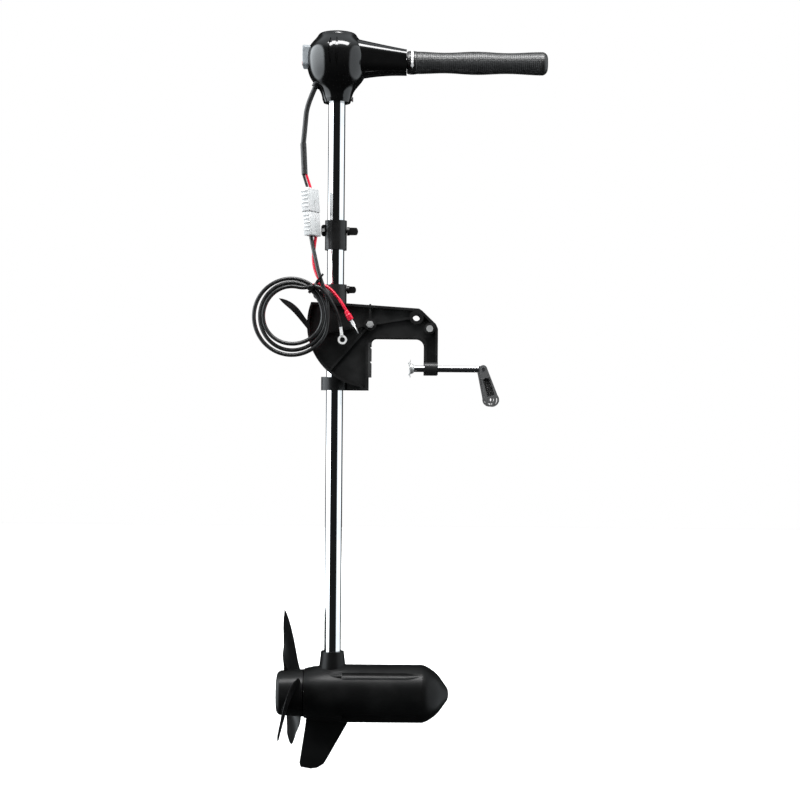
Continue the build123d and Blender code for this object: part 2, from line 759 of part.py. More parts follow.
with BuildPart() as magnets:
    with BuildSketch(Plane.YZ.offset(-28)):
        with Locations((0, pod_z)):
            Circle(inner_r)
            Circle(inner_r - 5.5, mode=Mode.SUBTRACT)
            Rectangle(24, 2 * pod_r, mode=Mode.SUBTRACT)
    extrude(amount=74)
save("magnets", magnets)

with BuildPart() as through_bolts:
    with BuildSketch(Plane.YZ.offset(seam_x - 8)):
        with Locations(*through_spots):
            Circle(2)
    extrude(amount=nose_x - seam_x + 16)
save("through_bolts", through_bolts)

save("rear_seal", along_x(12, rear_x, rear_x + 8, bore=motor_shaft_r + fit))
with BuildPart() as bearings:
    add(along_x(12, rear_x + 10, rear_x + 19, bore=motor_shaft_r + fit).part)
    add(along_x(11, nose_x + 30, nose_x + 39, bore=motor_shaft_r + fit).part)
save("bearings", bearings)

with BuildPart() as brushes:
    with BuildSketch(Plane.YZ.offset(-62)):
        with Locations((-22, pod_z), (22, pod_z)):
            Rectangle(13, 9)
    extrude(amount=14)
save("brushes", brushes)

with BuildPart() as motor_shaft:
    add(along_x(motor_shaft_r, hub_back + 6, nose_x + 38).part)
    with BuildSketch(Plane.XZ):
        with Locations((-125, pod_z)):
            Circle(2 + fit)
    extrude(amount=15, both=True, mode=Mode.SUBTRACT)
    with BuildSketch(Plane.XZ):
        with Locations((-125, pod_z)):
            Circle(2)
    extrude(amount=15, both=True)
save("motor_shaft_and_pin", motor_shaft)

with BuildPart() as armature:
    add(along_x(35, -22, 40, bore=motor_shaft_r).part)
    with BuildSketch(Plane.YZ.offset(-22)):
        with Locations((0, pod_z)):
            with PolarLocations(33, 12):
                Circle(3)
    extrude(amount=62, mode=Mode.SUBTRACT)
    add(along_x(14, -62, -24, bore=motor_shaft_r).part)
save("armature_and_commutator", armature)

with BuildPart() as propeller:
    with BuildSketch(Plane.XZ):
        with BuildLine():
            Polyline((hub_front, pod_z), (hub_front, pod_z + 39), (-146, pod_z + 36.5))
            ThreePointArc((-146, pod_z + 36.5), (-150, pod_z + 33), (hub_back, pod_z + 24))
            Polyline((hub_back, pod_z + 24), (hub_back, pod_z), (hub_front, pod_z))
        make_face()
    revolve(axis=Axis((0, 0, pod_z), (1, 0, 0)))
    for blade_angle in (-26, 94, 214):
        a = radians(blade_angle)
        outward = Vector(0, -sin(a), cos(a))
        lag = Vector(0, -cos(a), -sin(a))
        for r, chord, thick, sweep_back in (
            (30, 56, 8, -2), (60, 72, 6.5, 2), (90, 74, 5, 12), (115, 54, 3.6, 24), (prop_r - 6, 16, 1.8, 36),
        ):
            beta = atan(prop_pitch / (2 * pi * r))
            run = lag * cos(beta) + Vector(-sin(beta), 0, 0)
            centre_x = -141 + chord * sin(beta) / 2
            centre = Vector(centre_x, 0, pod_z) + outward * r + lag * sweep_back
            with BuildSketch(Plane(origin=centre, x_dir=run, z_dir=outward)):
                Ellipse(chord / 2, thick / 2)
        loft()
    with BuildSketch(Plane.YZ.offset(hub_back)):
        with Locations((0, pod_z)):
            Circle(motor_shaft_r)
    extrude(amount=60, mode=Mode.SUBTRACT)
    with BuildSketch(Plane.YZ.offset(hub_back)):
        with Locations((0, pod_z)):
            Circle(12)
    extrude(amount=12, mode=Mode.SUBTRACT)
    with BuildSketch(Plane.XZ):
        with Locations((-125, pod_z)):
            Circle(2)
    extrude(amount=15, both=True, mode=Mode.SUBTRACT)
save("propeller", propeller)

with BuildPart() as prop_nut:
    with BuildSketch(Plane.YZ.offset(hub_back - 1)):
        with Locations((0, pod_z)):
            RegularPolygon(9, 6)
            Circle(motor_shaft_r, mode=Mode.SUBTRACT)
    extrude(amount=13)
save("prop_nut", prop_nut)

with BuildPart() as leads:
    with BuildSketch(Plane.XY.offset(shaft_low)):
        with Locations((shaft_x - 4, 0), (shaft_x + 4, 0)):
            Circle(1.8)
    extrude(amount=shaft_high - shaft_low + 6)
save("motor_leads", leads)


# ---------------------------------------------------------------- battery cable
def bend_radii(points):
    """The largest tangent arc at each corner: 0.45 of its shorter run over the tangent of half the turn."""
    spots = [Vector(*p) for p in points]
    radii = []
    for before, here, after in zip(spots, spots[1:], spots[2:]):
        shorter = min((here - before).length, (after - here).length)
        turn_angle = (here - before).get_angle(after - here)
        radii.append(0.45 * shorter / (sin(radians(turn_angle / 2)) / cos(radians(turn_angle / 2))))
    return radii


def cord(name, points, radius):
    """A round tube along straight runs joined by tangent arcs."""
    radii = bend_radii(points)
    with BuildPart() as tube:
        with BuildLine() as path:
            FilletPolyline(*points, radius=radii)
        with BuildSketch(Plane(origin=path.line @ 0, z_dir=path.line % 0)):
            Circle(radius)
        sweep(path=path.line)
    length = path.wires()[0].length
    share = tube.part.volume / (pi * radius**2 * length)
    print(name, "length", round(length, 1), "volume share", round(share, 4),
          "radii", [round(r, 1) for r in radii])
    save(name, tube)


lead_start = Vector(*gland) + 4 * gland_way
main_lead_route = [
    tuple(lead_start), (-109, -9.4, 382.5), (-111.3, -13.4, 350), (-113.9, -18, 318),
]
cord("main_lead", main_lead_route, 4.2)

with BuildPart() as sleeve:
    with BuildSketch(Plane(origin=(-113.9, -18, 318), z_dir=(3, -7, -52))):
        Circle(4.9)
    extrude(amount=52)
save("heat_shrink", sleeve)

with BuildPart() as short_wires:
    for shift in (-2.4, 2.4):
        foot_point = connector_top + Vector(1.1 * shift, 0, 0)
        with BuildLine() as path:
            Line((-111 + shift, -25, 267.2), foot_point)
        with BuildSketch(Plane(origin=path.line @ 0, z_dir=path.line % 0)):
            Circle(2.1)
        sweep(path=path.line)
save("short_wires", short_wires)

axis_down = (connector_low - connector_top).normalized()
turned = Vector(cos(radians(65)), sin(radians(65)), 0)
split_point = connector_top * 0.5 + connector_low * 0.5
for name, start, width, depth in (
    ("connector_upper", connector_top, 36.5, 15.9), ("connector_lower", split_point, 34.5, 14.4),
):
    with BuildPart() as half:
        with BuildSketch(Plane(origin=start, x_dir=turned, z_dir=axis_down)):
            RectangleRounded(width, depth, 2)
        extrude(amount=(connector_low - connector_top).length / 2)
    save(name, half)

cord("black_wire", [
    (-99.6, -26, 165), (-96, -31, 148), (-89, -38, 126), (-87.5, -43, 105), (-92, -47, 89),
], 2.5)
cord("red_wire", [
    (-92.2, -21, 165), (-95, -23, 148), (-97, -27, 127), (-95.5, -34, 107), (-97, -41, 89),
], 2.5)

with BuildPart() as coil:
    with BuildSketch(Plane(origin=coil_at, x_dir=(1, 0, 0), z_dir=(0, 0, 1))):
        with Locations((coil_major, 0)):
            Circle(coil_minor)
    revolve(axis=Axis(coil_at, (0, 1, 0)))
save("cable_coil", coil)

cord("black_tail", [(-88, -47, 84), (-74, -44.5, 77), (-60, -42.5, 56), (-51, -42, 31), (-49.4, -42, 17)], 2.0)
cord("red_tail", [(-86, -51, 88), (-68, -50, 78), (-51, -49, 61), (-39, -47, 40), (-34, -46, 31)], 2.0)


def ring_terminal(start, end, y, edge_on):
    """A crimped barrel with a flat ring for an 8 mm battery stud."""
    way = (Vector(end[0], 0, end[1]) - Vector(start[0], 0, start[1])).normalized()
    face = Vector(0, 1, 0) if not edge_on else way.cross(Vector(0, 1, 0))
    with BuildPart() as terminal:
        with BuildSketch(Plane(origin=(start[0], y, start[1]), z_dir=way)):
            Circle(2.6)
        extrude(amount=14)
        eye = Vector(start[0], y, start[1]) + 21 * way
        with BuildSketch(Plane(origin=eye, x_dir=way, z_dir=face)):
            Circle(7.5)
            with Locations((-6, 0)):
                Rectangle(8, 5.2)
        extrude(amount=0.8, both=True)
        with BuildSketch(Plane(origin=eye, x_dir=way, z_dir=face)):
            Circle(4.2)
        extrude(amount=2, both=True, mode=Mode.SUBTRACT)
    return terminal


with BuildPart() as terminals:
    add(ring_terminal((-49.4, 17), (-46.2, -5.6), -42, edge_on=False).part)
    add(ring_terminal((-34, 31), (-21, 8), -46, edge_on=True).part)
save("ring_terminals", terminals)
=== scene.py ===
# %% [markdown]
# # An electric outboard for a small boat
#
# The frame holds every hard part where it belongs: a transom bracket, a steel shaft, a head with a tiller and
# a motor pod. This lesson lights it, gives each part its finish, and makes the cable, the connector, the grip
# and the clamp feet with Blender's own tools, because those need more than a plain solid.

# %% Open the frame
from math import atan2, cos, pi, radians, sin

import bmesh
import bpy
from mathutils import Matrix, Vector


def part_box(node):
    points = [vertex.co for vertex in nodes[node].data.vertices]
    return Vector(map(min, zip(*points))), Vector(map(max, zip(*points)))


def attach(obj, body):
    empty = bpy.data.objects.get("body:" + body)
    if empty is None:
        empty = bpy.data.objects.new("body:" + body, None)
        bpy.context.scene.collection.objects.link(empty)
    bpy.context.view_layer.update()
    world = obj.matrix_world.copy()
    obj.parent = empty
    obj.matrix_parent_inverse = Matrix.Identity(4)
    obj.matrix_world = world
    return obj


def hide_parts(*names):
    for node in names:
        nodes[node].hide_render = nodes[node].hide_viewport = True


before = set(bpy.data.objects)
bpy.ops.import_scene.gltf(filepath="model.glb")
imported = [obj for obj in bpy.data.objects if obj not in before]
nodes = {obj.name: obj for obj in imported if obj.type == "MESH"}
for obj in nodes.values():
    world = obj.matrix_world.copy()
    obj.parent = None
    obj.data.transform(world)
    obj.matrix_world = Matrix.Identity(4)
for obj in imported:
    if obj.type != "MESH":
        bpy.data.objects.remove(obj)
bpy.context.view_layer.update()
mm = 0.001

# %% [markdown]
# ## Camera
#
# The object is seen square from the side, from nearly three metres away, through a short telephoto lens. A
# level camera with half a degree of roll gives the shaft its slight lean; turning the object instead would
# take it out of the frame.

# %% Camera
camera_data = bpy.data.cameras.new("camera")
camera_data.lens = 75
camera_data.sensor_width = 36
camera = bpy.data.objects.new("camera", camera_data)
bpy.context.scene.collection.objects.link(camera)
camera_place = Vector((0.048, -2.75, -0.101))
camera_roll = radians(0.48)
level_view = Matrix.Translation(camera_place) @ Matrix.Rotation(radians(90), 4, "X")
camera.matrix_world = level_view @ Matrix.Rotation(camera_roll, 4, "Z")
bpy.context.scene.camera = camera
bpy.context.scene.view_settings.view_transform = "Standard"
print("camera stands", -camera_place.y, "m away")

# %% [markdown]
# ## Shader maths
#
# A finish is easier to read as arithmetic than as a web of links. `Wire` wraps one socket, so that an
# expression such as `0.3 + 0.2 * noise` adds its own Math nodes, and `Finish` adds any other node.


# %% Wires and finishes
class Wire:
    """One socket of a node tree, with arithmetic."""

    def __init__(self, finish, socket):
        self.finish, self.socket = finish, socket

    def maths(self, operation, first, second):
        return self.finish.node("ShaderNodeMath", {"operation": operation}, {0: first, 1: second})

    def __add__(self, other):
        return self.maths("ADD", self, other)

    def __mul__(self, other):
        return self.maths("MULTIPLY", self, other)

    def __truediv__(self, other):
        return self.maths("DIVIDE", self, other)

    def __sub__(self, other):
        return self.maths("SUBTRACT", self, other)

    def __rsub__(self, other):
        return self.maths("SUBTRACT", other, self)

    __radd__, __rmul__ = __add__, __mul__

    def over(self, low, high):
        """A step from 0 to 1 as this value goes from low to high."""
        limits = {"Value": self, "From Min": low, "From Max": high}
        return self.finish.node("ShaderNodeMapRange", {"interpolation_type": "SMOOTHSTEP"}, limits)


class Finish:
    """A material or the world, with short ways to add its nodes."""

    def __init__(self, name="", owner=None):
        self.material = owner or bpy.data.materials.new(name)
        self.material.use_nodes = True
        self.tree = self.material.node_tree
        self.shader = self.tree.nodes.get("Principled BSDF") or self.tree.nodes["Background"]

    def feed(self, socket, value):
        """Link a wire to a socket, or set the socket's own value."""
        if isinstance(value, Wire):
            self.tree.links.new(value.socket, socket)
        else:
            socket.default_value = value

    def node(self, kind, settings=None, inputs=None, output=0):
        """Add a node, with its settings set before its sockets, and return one of its outputs."""
        made = self.tree.nodes.new(kind)
        for key, value in (settings or {}).items():
            setattr(made, key, value)
        for key, value in (inputs or {}).items():
            self.feed(made.inputs[key], value)
        return Wire(self, made.outputs[output])

    def place(self):
        """Where a point lies on its piece."""
        return self.node("ShaderNodeTexCoord", output="Object")

    def axis(self, letter):
        """One coordinate of that place."""
        return self.node("ShaderNodeSeparateXYZ", None, {0: self.place()}, output=letter)

    def noise(self, size, detail=2.0, stretch=(1, 1, 1)):
        """Noise whose blobs are about `size` metres across, stretched along an axis."""
        scale = [1 / length for length in stretch]
        way = self.node("ShaderNodeMapping", None, {"Vector": self.place(), "Scale": scale})
        return self.node("ShaderNodeTexNoise", None, {"Vector": way, "Scale": 1 / size, "Detail": detail})

    def blend(self, amount, first, second):
        """Mix two colours."""
        return self.node("ShaderNodeMix", {"data_type": "RGBA"}, {0: amount, 6: first, 7: second}, 2)

    def bump(self, height, depth):
        """A normal bent by a height from 0 to 1, `depth` metres high."""
        return self.node("ShaderNodeBump", None, {"Height": height, "Distance": depth, "Strength": 1.0})

    def set(self, **sockets):
        """Set or link the shader's own sockets, with _ for each space in a name."""
        for key, value in sockets.items():
            self.feed(self.shader.inputs[key.replace("_", " ")], value)


def shade(value, tint=(1, 1, 1)):
    """A grey of one brightness, tinted if asked."""
    return (value * tint[0], value * tint[1], value * tint[2], 1)


print("shader helpers ready")

# %% [markdown]
# ## Finishes
#
# Most of the object is black, and only its gloss tells the parts apart: glass-filled plastic is dull and
# grainy, the head is polished, the pod is painted. Each finish therefore varies its roughness and its
# bump more than its colour.


# %% Moulded, painted and metal finishes
def moulded(name, dark, light, rough, grain, depth, mottle=0.03, coat=0.0, shine=0.3):
    """Plastic or paint: two near colours in soft patches, a varying gloss and a fine grain."""
    finish = Finish(name)
    patches = finish.noise(mottle, 3)
    fine = finish.noise(grain, 2)
    finish.set(
        Base_Color=finish.blend(patches.over(0.35, 0.65), dark, light),
        Roughness=rough + 0.10 * (patches - 0.5) + 0.08 * (fine - 0.5),
        Normal=finish.bump(fine, depth),
    )
    finish.set(Coat_Weight=coat, Coat_Roughness=0.05, Specular_IOR_Level=shine)
    return finish.material


def metal(name, colour, rough, grain, stretch=(1, 1, 1), depth=0.00003, stain=0.06, bare=1.0):
    """Bare or plated metal: drawn lines and faint smudges; `bare` is below 1 for a dull coat."""
    finish = Finish(name)
    lines = finish.noise(grain, 3, stretch)
    smudge = finish.noise(stain, 3)
    duller = tuple(0.86 * c for c in colour[:3]) + (1,)
    finish.set(
        Base_Color=finish.blend(smudge.over(0.4, 0.75), colour, duller),
        Roughness=rough + 0.12 * rough * (lines - 0.5) + 0.05 * smudge.over(0.5, 0.8),
        Normal=finish.bump(lines, depth),
    )
    finish.set(Metallic=bare)
    return finish.material


glass_filled = moulded("glass_filled", shade(0.008), shade(0.014), 0.36, 0.0009, 0.00010)
satin_black = moulded("satin_black", shade(0.006), shade(0.010), 0.30, 0.0012, 0.00005)
polished_black = moulded("polished_black", shade(0.003), shade(0.005), 0.12, 0.006, 0.000008, 0.06, coat=0.5)
propeller_black = moulded(
    "propeller_black", shade(0.004), shade(0.008), 0.30, 0.003, 0.00004, 0.04, shine=0.16
)
pod_paint = moulded("pod_paint", shade(0.004), shade(0.007), 0.34, 0.0016, 0.00004, 0.05, shine=0.17)
pad_plastic = moulded("pad_plastic", shade(0.02), shade(0.035), 0.6, 0.0012, 0.0002)
bluish = (0.92, 1, 1.06)
gauge_plastic = moulded("gauge_plastic", shade(0.20, bluish), shade(0.26, bluish), 0.35, 0.0015, 0.00005)
connector_plastic = moulded(
    "connector_plastic", shade(0.50, (0.98, 1, 1)), shade(0.57), 0.5, 0.0012, 0.0001, 0.02
)
nylon = moulded("nylon", shade(0.66, (1, 0.99, 0.95)), shade(0.74), 0.5, 0.002, 0.00008)
red_button = moulded(
    "red_button", shade(0.4, (1, 0.06, 0.04)), shade(0.5, (1, 0.08, 0.05)), 0.3, 0.002, 0.00004
)
board_green = moulded(
    "board_green", (0.01, 0.09, 0.03, 1), (0.02, 0.14, 0.05, 1), 0.35, 0.001, 0.00008, 0.004
)
switch_black = moulded("switch_black", shade(0.02), shade(0.03), 0.45, 0.0012, 0.00008)
ferrite = moulded("ferrite", shade(0.05), shade(0.08), 0.62, 0.0006, 0.0002, 0.01)
carbon = moulded("carbon", shade(0.02), shade(0.035), 0.7, 0.0005, 0.0002, 0.006)
chrome_tube = metal("chrome_tube", (0.86, 0.87, 0.88, 1), 0.06, 0.0006, (1, 1, 60), 0.000003)
chrome_rod = metal("chrome_rod", (0.66, 0.66, 0.67, 1), 0.26, 0.0005, (60, 1, 1), 0.000006)
zinc = metal("zinc", (0.78, 0.78, 0.77, 1), 0.36, 0.0012, stain=0.006, bare=0.75)
tin = metal("tin", (0.90, 0.90, 0.89, 1), 0.45, 0.0010, stain=0.004, bare=0.4)
copper = metal("copper", (0.80, 0.42, 0.27, 1), 0.3, 0.0006, stain=0.006)
core_steel = metal("core_steel", (0.45, 0.44, 0.43, 1), 0.38, 0.0008, (0.2, 4, 4), 0.00006, 0.01)
print("finishes", len(bpy.data.materials))

# %% [markdown]
# ## Vinyl, ribs and glass
#
# The cable's vinyl is softer than the moulded parts, with dull marks from handling. The crank handles have a
# recessed middle with small ribs across it. A sine wave along the handle raises the ribs in the bump alone,
# because they lie inside the recess and never show in the outline. The two short wires above the connector
# share one node, so a mask that follows the line between them colours one black and one red.


# %% Cable jackets
def jacket(name, dark, light):
    """Soft vinyl with small dull marks."""
    finish = Finish(name)
    marks = finish.noise(0.004, 3)
    finish.set(
        Base_Color=finish.blend(marks.over(0.4, 0.7), dark, light),
        Roughness=0.36 + 0.2 * (marks - 0.5),
        Normal=finish.bump(marks, 0.00008),
    )
    return finish.material


black_vinyl = jacket("black_vinyl", shade(0.008), shade(0.014))
red_vinyl = jacket("red_vinyl", (0.52, 0.004, 0.025, 1), (0.66, 0.008, 0.04, 1))
shrink_black = jacket("shrink_black", shade(0.010), shade(0.018))
print("finishes", len(bpy.data.materials))

# %% Crank ribs
crank = Finish("crank_plastic")
crank_pin_x, clamp_height, crank_hang = 0.1828, -0.0495, radians(73.6)
recess_start, recess_end, recess_half, rib_pitch = 0.0150, 0.0450, 0.0058, 0.0024
end_slope, side_slope = 0.0005, 0.0004
from_pin, below_pin = crank.axis("X") - crank_pin_x, crank.axis("Z") - clamp_height
reach = from_pin * cos(crank_hang) - below_pin * sin(crank_hang)
offset = from_pin * sin(crank_hang) + below_pin * cos(crank_hang)
in_recess = reach.over(recess_start, recess_start + end_slope)
in_recess = in_recess * (1 - reach.over(recess_end, recess_end + end_slope))
in_recess = in_recess * offset.over(-recess_half - side_slope, -recess_half)
in_recess = in_recess * (1 - offset.over(recess_half, recess_half + side_slope))
rib_wave = crank.node("ShaderNodeMath", {"operation": "SINE"}, {0: reach * (2 * pi / rib_pitch)})
crank_grain = crank.noise(0.0008, 2)
crank.set(
    # The recess is painted darker than the rim around it: this is painted shade in the hollow, not a
    # different plastic.
    Base_Color=crank.blend(in_recess, shade(0.075), shade(0.012)),
    Roughness=0.40 + 0.1 * (crank_grain - 0.5),
    Normal=crank.bump(rib_wave.over(-0.3, 0.6) * in_recess + 0.15 * crank_grain, 0.0006),
)
print("ribs in each recess", round((recess_end - recess_start) / rib_pitch))

# %% Wire pair and lens
pair = Finish("wire_pair")
between_x, between_z, lean = -0.111, 0.2672, 0.33
beside = pair.axis("X") - between_x - (between_z - pair.axis("Z")) * lean
pair_marks = pair.noise(0.004, 3)
pair.set(
    # The wire nearer the shaft is the red one.
    Base_Color=pair.blend(beside.over(-0.0003, 0.0003), shade(0.012), (0.56, 0.005, 0.03, 1)),
    Roughness=0.36 + 0.2 * (pair_marks - 0.5),
    Normal=pair.bump(pair_marks, 0.00008),
)

lens_finish = Finish("gauge_glass")
lens_marks = lens_finish.noise(0.01, 2)
lens_finish.set(Base_Color=shade(0.9), Roughness=0.04 + 0.05 * lens_marks, Transmission_Weight=0.9, IOR=1.45)
print("finishes", len(bpy.data.materials))

# %% [markdown]
# ## Parts and their finishes
#
# Every hard part of the frame is given one finish by name, the hidden parts too, since they show once the
# object is taken apart. A list that reads like a parts list makes a missing or misspelt name easy to find.

# %% Give every node its finish
finish_of = {
    glass_filled: "bracket_side_near bracket_side_far bracket_back_plate swivel_frame tilt_lever",
    satin_black: "depth_collar depth_knob tension_knob cable_gland",
    polished_black: "head_cover head_housing",
    propeller_black: "propeller",
    pod_paint: "rear_housing motor_can nose_cone",
    crank.material: "clamp_crank_near clamp_crank_far",
    pad_plastic: "transom_pad",
    gauge_plastic: "gauge_housing",
    connector_plastic: "connector_upper connector_lower",
    nylon: "upper_bush lower_bush speed_ring",
    red_button: "test_button",
    board_green: "gauge_board",
    switch_black: "speed_switch rear_seal grip_sleeve",
    ferrite: "magnets",
    carbon: "brushes",
    chrome_tube: "shaft_tube",
    chrome_rod: "clamp_screw_near clamp_screw_far tiller_tube motor_shaft_and_pin",
    zinc: "pivot_bolt bracket_bolt_and_spacer swivel_pinch_bolt lever_pin lock_pin depth_collar_bolt"
          " head_screws through_bolts prop_nut clamp_foot_near clamp_foot_far bearings",
    tin: "ring_terminals",
    copper: "motor_leads",
    core_steel: "armature_and_commutator",
    black_vinyl: "main_lead black_wire black_tail cable_coil",
    pair.material: "short_wires",
    shrink_black: "heat_shrink",
    red_vinyl: "red_wire red_tail",
    lens_finish.material: "gauge_lens",
}


def give(name, material):
    """Put one finish on a whole node."""
    nodes[name].data.materials.clear()
    nodes[name].data.materials.append(material)


for material, names in finish_of.items():
    for name in names.split():
        give(name, material)
print("nodes without a finish", sorted(set(nodes) - set(" ".join(finish_of.values()).split())))

# %% [markdown]
# ## Helpers for new pieces
#
# A new piece starts as a bmesh, gets its faces turned outwards, and becomes an object at the origin that
# rides on a body. Doing this in one function keeps every piece clean in the same way.


# %% From bmesh to piece
def piece_from(name, shape, material, body, smooth=40, replaces=()):
    """Finish a bmesh as a piece that rides on a body."""
    bmesh.ops.remove_doubles(shape, verts=shape.verts, dist=0.000001)
    bmesh.ops.recalc_face_normals(shape, faces=shape.faces)
    mesh = bpy.data.meshes.new(name)
    shape.to_mesh(mesh)
    shape.free()
    mesh.materials.append(material)
    mesh.shade_smooth()
    mesh.set_sharp_from_angle(angle=radians(smooth))
    piece = bpy.data.objects.new(name, mesh)
    bpy.context.scene.collection.objects.link(piece)
    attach(piece, body)
    if replaces:
        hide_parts(*replaces)
    print(name, "faces", len(mesh.polygons))
    return piece


def spun(profile, centre, axis, steps):
    """Turn a closed profile of (along, radius) points a full turn about an axis through a centre."""
    shape = bmesh.new()
    out = axis.orthogonal().normalized()
    ring = [shape.verts.new(centre + axis * along + out * radius) for along, radius in profile]
    edges = [shape.edges.new(ends) for ends in zip(ring, ring[1:] + ring[:1])]
    bmesh.ops.spin(
        shape, geom=ring + edges, cent=centre, axis=axis, angle=2 * pi, steps=steps, use_merge=True
    )
    return shape


def axes_at(centre, across, up, scale=(1, 1, 1)):
    """A matrix that puts a unit shape at a centre, its X along one way and its Z along another."""
    sideways = up.cross(across)
    columns = [across * scale[0], sideways * scale[1], up * scale[2], centre]
    return Matrix([[column[row] for column in columns] for row in range(3)] + [[0, 0, 0, 1]])


def block(shape, centre, across, up, scale, edge=0.0, steps=2):
    """Add a box with rounded edges, placed and turned by two of its axes."""
    made = bmesh.ops.create_cube(shape, size=1, matrix=axes_at(centre, across, up, scale))["verts"]
    if edge:
        edges = list({e for v in made for e in v.link_edges})
        bmesh.ops.bevel(
            shape, geom=edges, offset=edge, segments=steps, profile=0.5, affect="EDGES", material=-1,
            clamp_overlap=True,
        )


X, Y, Z = Vector((1, 0, 0)), Vector((0, 1, 0)), Vector((0, 0, 1))
print("mesh helpers ready")

# %% [markdown]
# ## The battery cable
#
# One sheathed lead leaves the head and ends in a two-pole connector. Below it the black and the red wire
# run apart, are wound nearly three times into a loose coil, and end in ring terminals. Each wire is one NURBS
# curve with the coil's turns in it, so that its length is real.


# %% Cords
def smooth_line(name, points, resolution):
    """A NURBS curve whose control points are given in millimetres."""
    data = bpy.data.curves.new(name, "CURVE")
    data.dimensions = "3D"
    spline = data.splines.new("NURBS")
    spline.points.add(len(points) - 1)
    for spot, point in zip(spline.points, points):
        spot.co = (point[0] * mm, point[1] * mm, point[2] * mm, 1)
    spline.order_u = 3
    spline.use_endpoint_u = True
    data.resolution_u = resolution
    return data


def curve_cord(name, points, diameter, material, stand_for):
    """A round cord along a smooth line, which rides on the shaft."""
    data = smooth_line(name, points, 8)
    data.bevel_depth = diameter / 2
    data.bevel_resolution = 5
    data.use_fill_caps = True
    data.materials.append(material)
    cord = bpy.data.objects.new(name, data)
    bpy.context.scene.collection.objects.link(cord)
    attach(cord, "shaft")
    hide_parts(*stand_for)
    return cord


def curve_length(points):
    """The length of the smooth line of a route, in metres."""
    holder = bpy.data.objects.new("measure", smooth_line("measure", points, 24))
    line = bpy.data.meshes.new_from_object(holder)
    ends = [[line.vertices[v].co for v in edge.vertices] for edge in line.edges]
    length = sum((start - end).length for start, end in ends)
    bpy.data.objects.remove(holder)
    bpy.data.meshes.remove(line)
    return length


gland = Vector((-93.7, -8.0, 415.8))
gland_way = Vector((-0.476, -0.02, -0.878)).normalized()
lead_diameter = 0.0084
lead_route = [tuple(gland + 4 * gland_way), (-109, -9.4, 382.5), (-111.3, -13.4, 350), (-113.9, -18, 318)]
main_lead = curve_cord(
    "main_lead_jacket", lead_route, lead_diameter, black_vinyl, ["main_lead"]
)
lead_length = curve_length(lead_route)
print("main lead", round(lead_length, 4))

# %% Coil turns
coil_centre = (-128.6, 33.2)
coil_tie_angle = radians(54)
black_diameter, red_diameter = 0.0064, 0.0052
# The radius of each turn at the right, bottom, left and top: loose turns fan out at the left and below.
quarter_radii = [62.7, 64.1, 62.4, 62.3, 57.0, 56.0, 52.4, 55.6, 51.3, 45.5, 46.9, 49.2, 49.4]
steps_a_quarter = 4
first_turn, last_turn = 0.25, 11.25
third_turn = 8


def coil_points(depth, shrink, wobble):
    """Turns that run clockwise from the outside in, close together at the tie and fanned out away from it."""
    spots = []
    for quarter, (start, end) in enumerate(zip(quarter_radii, quarter_radii[1:])):
        for step in range(steps_a_quarter):
            share = step / steps_a_quarter
            if not first_turn <= quarter + share <= last_turn:
                continue
            angle = -radians(90 * (quarter + share))
            away = (1 - cos(angle - coil_tie_angle)) / 2
            radius = start + (end - start) * (1 - cos(pi * share)) / 2 - shrink * away
            forward = 2.8 if quarter >= third_turn else 0
            y = depth + (0.9 * sin(2.3 * angle + wobble) - forward) * away
            spots.append((coil_centre[0] + radius * cos(angle), y, coil_centre[1] + radius * sin(angle)))
    return spots


black_route = (
    [(-99.6, -26, 165), (-96.5, -31, 148), (-91, -38, 126)]
    + [(-86, -44.5, 104), (-77, -49, 80), (-69.5, -50.5, 55)]
    + coil_points(-50.9, 0.0, 0.0)
    + [(-98, -54.5, 82), (-84, -57.5, 81), (-72, -54, 69)]
    + [(-58.5, -47, 47), (-51.5, -42.5, 29), (-49.4, -42, 17)]
)
red_route = (
    [(-92.2, -21, 165), (-94.5, -23, 148), (-96, -28, 127)]
    + [(-92, -35, 107), (-81, -41, 86), (-70.5, -44, 58)]
    + coil_points(-44.9, 0.4, 0.9)
    + [(-98, -41, 84), (-84, -36.5, 87), (-70, -38.5, 82)]
    + [(-55, -43, 66), (-42, -47, 47), (-34, -46, 31)]
)
black_cord = curve_cord(
    "black_conductor", black_route, black_diameter, black_vinyl,
    ["black_wire", "black_tail", "cable_coil"],
)
red_cord = curve_cord(
    "red_conductor", red_route, red_diameter, red_vinyl, ["red_wire", "red_tail"]
)
black_length, red_length = curve_length(black_route), curve_length(red_route)
print("black wire", round(black_length, 3), "red wire", round(red_length, 3))

# %% [markdown]
# ## Connector, tie and crimp
#
# The connector is a pair of moulded shells that plug end to end. Both narrow sides have finger ribs and each
# open end has a pocket for its wires, so a half is a bevelled block whose end face is inset and pushed in.
#
# The tie that holds the coil is a circle of edges, extruded sideways into a band and thickened, with a block
# for its lock and one for its cut tail. The crimp sleeve over the red wire's end has rings round it, so it is
# a profile spun about the wire's own direction.

# %% Connector halves
connector_top, connector_low = Vector((-103.2, -25.0, 243.4)) * mm, Vector((-97.2, -25.0, 165.8)) * mm
along = (connector_low - connector_top).normalized()
half_length = (connector_low - connector_top).length / 2
connector_turn = radians(65)
wide = Vector((cos(connector_turn), sin(connector_turn), 0))
narrow = along.cross(wide).normalized()
pocket_wall, pocket_depth = 0.0012, 0.004
first_rib, rib_step = 0.0055, 0.0062


